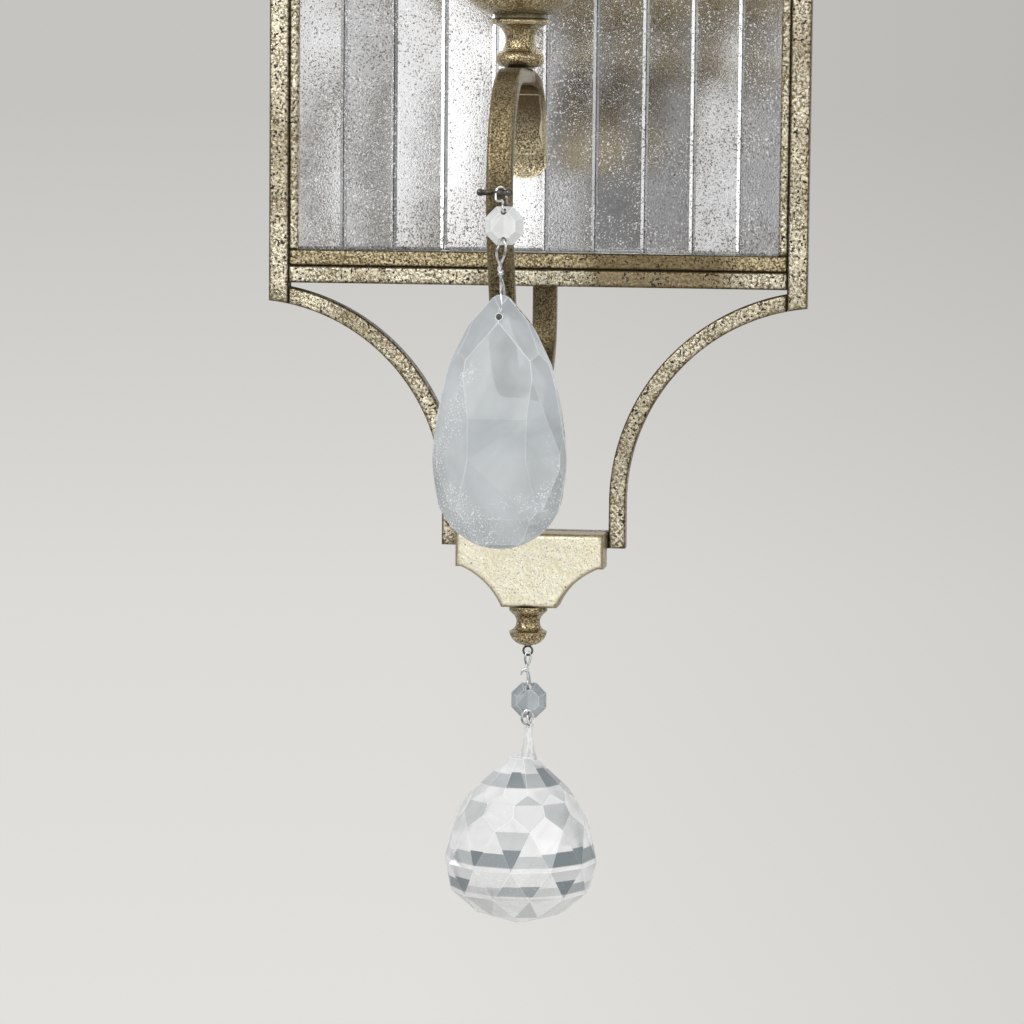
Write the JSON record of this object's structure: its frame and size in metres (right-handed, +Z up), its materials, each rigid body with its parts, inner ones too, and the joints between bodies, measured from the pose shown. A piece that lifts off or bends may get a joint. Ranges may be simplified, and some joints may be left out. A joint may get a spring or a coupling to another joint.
{
  "type": "mirrored wall sconce with crystal drops",
  "caption": "Wall light with a strip mirror in a shaped brass frame, one curved candle arm and hanging cut crystals.",
  "frame": {"origin": "on the wall plane, at the middle of the mirror frame", "axes": "+Z up, +Y into the wall, +X to the right as seen from the room"},
  "size_m": [0.2032, 0.1613, 0.6106],
  "materials": {
    "gilt": "antique silver gilt, worn",
    "mirror": "aged mirror glass, bevelled",
    "sheet": "mill finish sheet",
    "pan": "matt bronze paint",
    "bracket": "zinc plated",
    "ground_screw": "green",
    "clamp": "zinc plated",
    "screws": "zinc plated",
    "riser": "plain",
    "nut": "plain",
    "holder": "matt",
    "sleeve": "ivory, satin",
    "lamp_cap": "plain",
    "lamp_glass": "clear",
    "filament": "clear stem with wire",
    "lead_cover": "soft",
    "connector": "orange",
    "copper": "bare copper",
    "wire": "nickel plated wire",
    "crystal": "cut and polished"
  },
  "bodies": {
    "fixture": {"right_stile": "gilt", "left_stile": "gilt", "lower_rail": "gilt", "upper_rail": "gilt", "lower_lip": "gilt", "upper_lip": "gilt", "right_lip": "gilt", "left_lip": "gilt", "lower_right_arc": "gilt", "lower_left_arc": "gilt", "upper_right_arc": "gilt", "upper_left_arc": "gilt", "lower_cross_bar": "gilt", "upper_cross_bar": "gilt", "lower_plate": "gilt", "upper_plate": "gilt", "lower_finial": "gilt", "upper_finial": "gilt", "arm_tube": "gilt", "arm_leaf": "gilt", "arm_hook": "gilt", "candle_neck": "gilt", "candle_cup": "gilt", "foot_eye": "gilt", "mirror_strip_01": "mirror", "mirror_strip_02": "mirror", "mirror_strip_03": "mirror", "mirror_strip_04": "mirror", "mirror_strip_05": "mirror", "mirror_strip_06": "mirror", "mirror_strip_07": "mirror", "mirror_strip_08": "mirror", "mirror_strip_09": "mirror", "mirror_strip_10": "mirror", "mirror_tray": "sheet", "back_pan": "pan", "wall_bracket": "bracket", "ground_screw": "ground_screw", "clamp_block": "clamp", "arm_saddle": "clamp", "saddle_screws": "screws", "riser_tube": "riser", "lock_nut": "nut", "lamp_holder": "holder", "candle_sleeve": "sleeve", "lamp_cap": "lamp_cap", "lamp_glass": "lamp_glass", "lamp_filament": "filament", "lamp_leads": "lead_cover", "wire_connectors": "connector", "ground_lead": "copper"},
    "arm_link": {"arm_link": "wire"},
    "arm_bead": {"arm_bead": "crystal"},
    "almond": {"almond_wire": "wire", "almond_crystal": "crystal"},
    "foot_link": {"foot_link": "wire"},
    "foot_bead": {"foot_bead": "crystal"},
    "ball": {"ball_wire": "wire", "ball_crystal": "crystal"}
  },
  "joints": [
    {"name": "arm_link_hinge", "type": "hinge", "parent": "fixture", "child": "arm_link", "pos_m": [0.0029, -0.1525, -0.0803], "axis": [1, 0, 0], "range_deg": [-50, 8]},
    {"name": "arm_bead_hinge", "type": "hinge", "parent": "arm_link", "child": "arm_bead", "pos_m": [0.0032, -0.1525, -0.0868], "axis": [0, 1, 0], "range_deg": [-30, 30]},
    {"name": "almond_hinge", "type": "hinge", "parent": "arm_bead", "child": "almond", "pos_m": [0.0032, -0.1525, -0.0966], "axis": [0, 1, 0], "range_deg": [-30, 30]},
    {"name": "foot_link_hinge", "type": "hinge", "parent": "fixture", "child": "foot_link", "pos_m": [-0.0005, -0.045, -0.2559], "axis": [1, 0, 0], "range_deg": [-50, 12]},
    {"name": "foot_bead_hinge", "type": "hinge", "parent": "foot_link", "child": "foot_bead", "pos_m": [-0.0002, -0.045, -0.2681], "axis": [0, 1, 0], "range_deg": [-30, 30]},
    {"name": "ball_hinge", "type": "hinge", "parent": "foot_bead", "child": "ball", "pos_m": [-0.0002, -0.045, -0.2779], "axis": [0, 1, 0], "range_deg": [-30, 30]}
  ]
}
